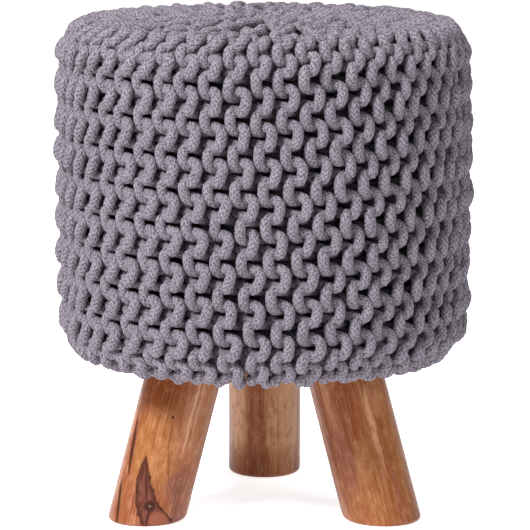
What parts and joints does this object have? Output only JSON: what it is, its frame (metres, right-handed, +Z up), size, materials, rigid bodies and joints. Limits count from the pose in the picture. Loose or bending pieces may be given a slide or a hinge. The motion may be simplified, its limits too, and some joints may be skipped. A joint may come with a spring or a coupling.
{
  "type": "knitted pouf",
  "caption": "Round drum pouf under a thick cord garter-stitch cover, standing on three splayed round wooden legs.",
  "frame": {"origin": "on the floor, in the middle of the pouf, under the drum's axis", "axes": "+Z up, -Y towards the front, with the single rear leg at +Y and the two front legs at -Y"},
  "size_m": [0.3539, 0.3538, 0.4255],
  "materials": {
    "cotton_cord": "matt heathered cotton cord, chunky garter stitch",
    "leg_wood": "satin clear-lacquered warm brown hardwood with strong figure"
  },
  "bodies": {
    "root": {"knit_cover": "cotton_cord", "leg_front_right": "leg_wood", "leg_front_left": "leg_wood", "leg_rear": "leg_wood"}
  },
  "joints": []
}
